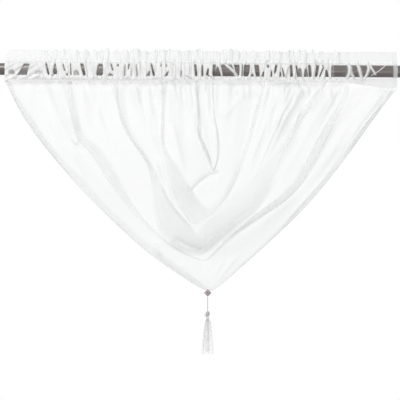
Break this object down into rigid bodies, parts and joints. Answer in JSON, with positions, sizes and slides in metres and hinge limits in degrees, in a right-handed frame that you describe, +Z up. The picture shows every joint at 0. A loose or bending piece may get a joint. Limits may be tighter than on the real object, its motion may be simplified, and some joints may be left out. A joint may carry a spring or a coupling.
{
  "type": "sheer swag curtain on a pole",
  "caption": "Sheer white swag curtain gathered on a dark round pole by a frilled pocket; its sides sweep down to a point that carries a small patch and a white tassel.",
  "frame": {"origin": "middle of the pole's axis, where its brackets' line runs", "axes": "+X along the pole, -Y towards the room, +Z up"},
  "size_m": [1, 0.068, 0.7134],
  "materials": {
    "pole": "dark brown satin lacquer",
    "voile": "sheer white voile, plain weave",
    "patch": "folded grey cloth patch",
    "tassel": "silky white yarn",
    "bead": "wound grey-white yarn"
  },
  "bodies": {
    "root": {"curtain_rod": "pole", "voile_panel": "voile", "point_patch": "patch", "tassel_cord": "tassel", "tassel_bead": "bead", "tassel_binding": "tassel", "tassel_skirt": "tassel"}
  },
  "joints": []
}
